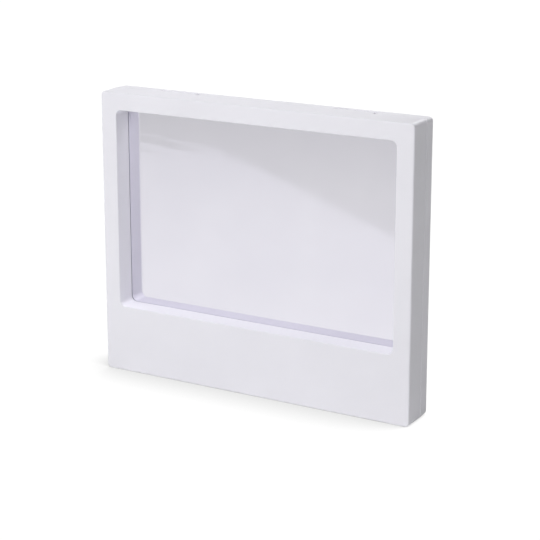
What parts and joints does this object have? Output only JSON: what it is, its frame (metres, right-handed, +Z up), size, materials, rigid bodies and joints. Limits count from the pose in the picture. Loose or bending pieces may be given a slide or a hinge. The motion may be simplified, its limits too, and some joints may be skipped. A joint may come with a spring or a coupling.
{
  "type": "clear-film photo display frame",
  "caption": "Free-standing white plastic photo frame with a see-through window, whose hinged halves clamp a flat picture between stretched clear films.",
  "frame": {"origin": "middle of the bounding box's underside, on the surface that the frame stands on", "axes": "+X to the right seen from the front, +Y from the front face to the rear face, +Z up"},
  "size_m": [0.16, 0.02, 0.135],
  "materials": {
    "white_plastic": "matte moulded plastic, very fine texture",
    "inner_plastic": "plain moulded plastic",
    "clear_film": "glossy clear elastic film",
    "pin_steel": "drawn wire",
    "screw_steel": "zinc-plated",
    "nickel": "nickel-plated magnet"
  },
  "bodies": {
    "front_half": {"front_shell": "white_plastic", "front_film": "clear_film", "front_hoop": "inner_plastic", "front_hoop_screw_1": "screw_steel", "front_hoop_screw_2": "screw_steel", "front_hoop_screw_3": "screw_steel", "front_hoop_screw_4": "screw_steel", "front_hoop_screw_5": "screw_steel", "front_hoop_screw_6": "screw_steel", "front_magnet_left": "nickel", "front_magnet_right": "nickel"},
    "rear_half": {"rear_shell": "white_plastic", "rear_film": "clear_film", "rear_hoop": "inner_plastic", "rear_hoop_screw_1": "screw_steel", "rear_hoop_screw_2": "screw_steel", "rear_hoop_screw_3": "screw_steel", "rear_hoop_screw_4": "screw_steel", "rear_hoop_screw_5": "screw_steel", "rear_hoop_screw_6": "screw_steel", "rear_magnet_left": "nickel", "rear_magnet_right": "nickel", "hinge_pin_left": "pin_steel", "hinge_pin_right": "pin_steel"}
  },
  "joints": [
    {"name": "rear_half_hinge", "type": "hinge", "parent": "front_half", "child": "rear_half", "pos_m": [0, 0.0035, 0.1334], "axis": [1, 0, 0], "range_deg": [0, 95]}
  ]
}
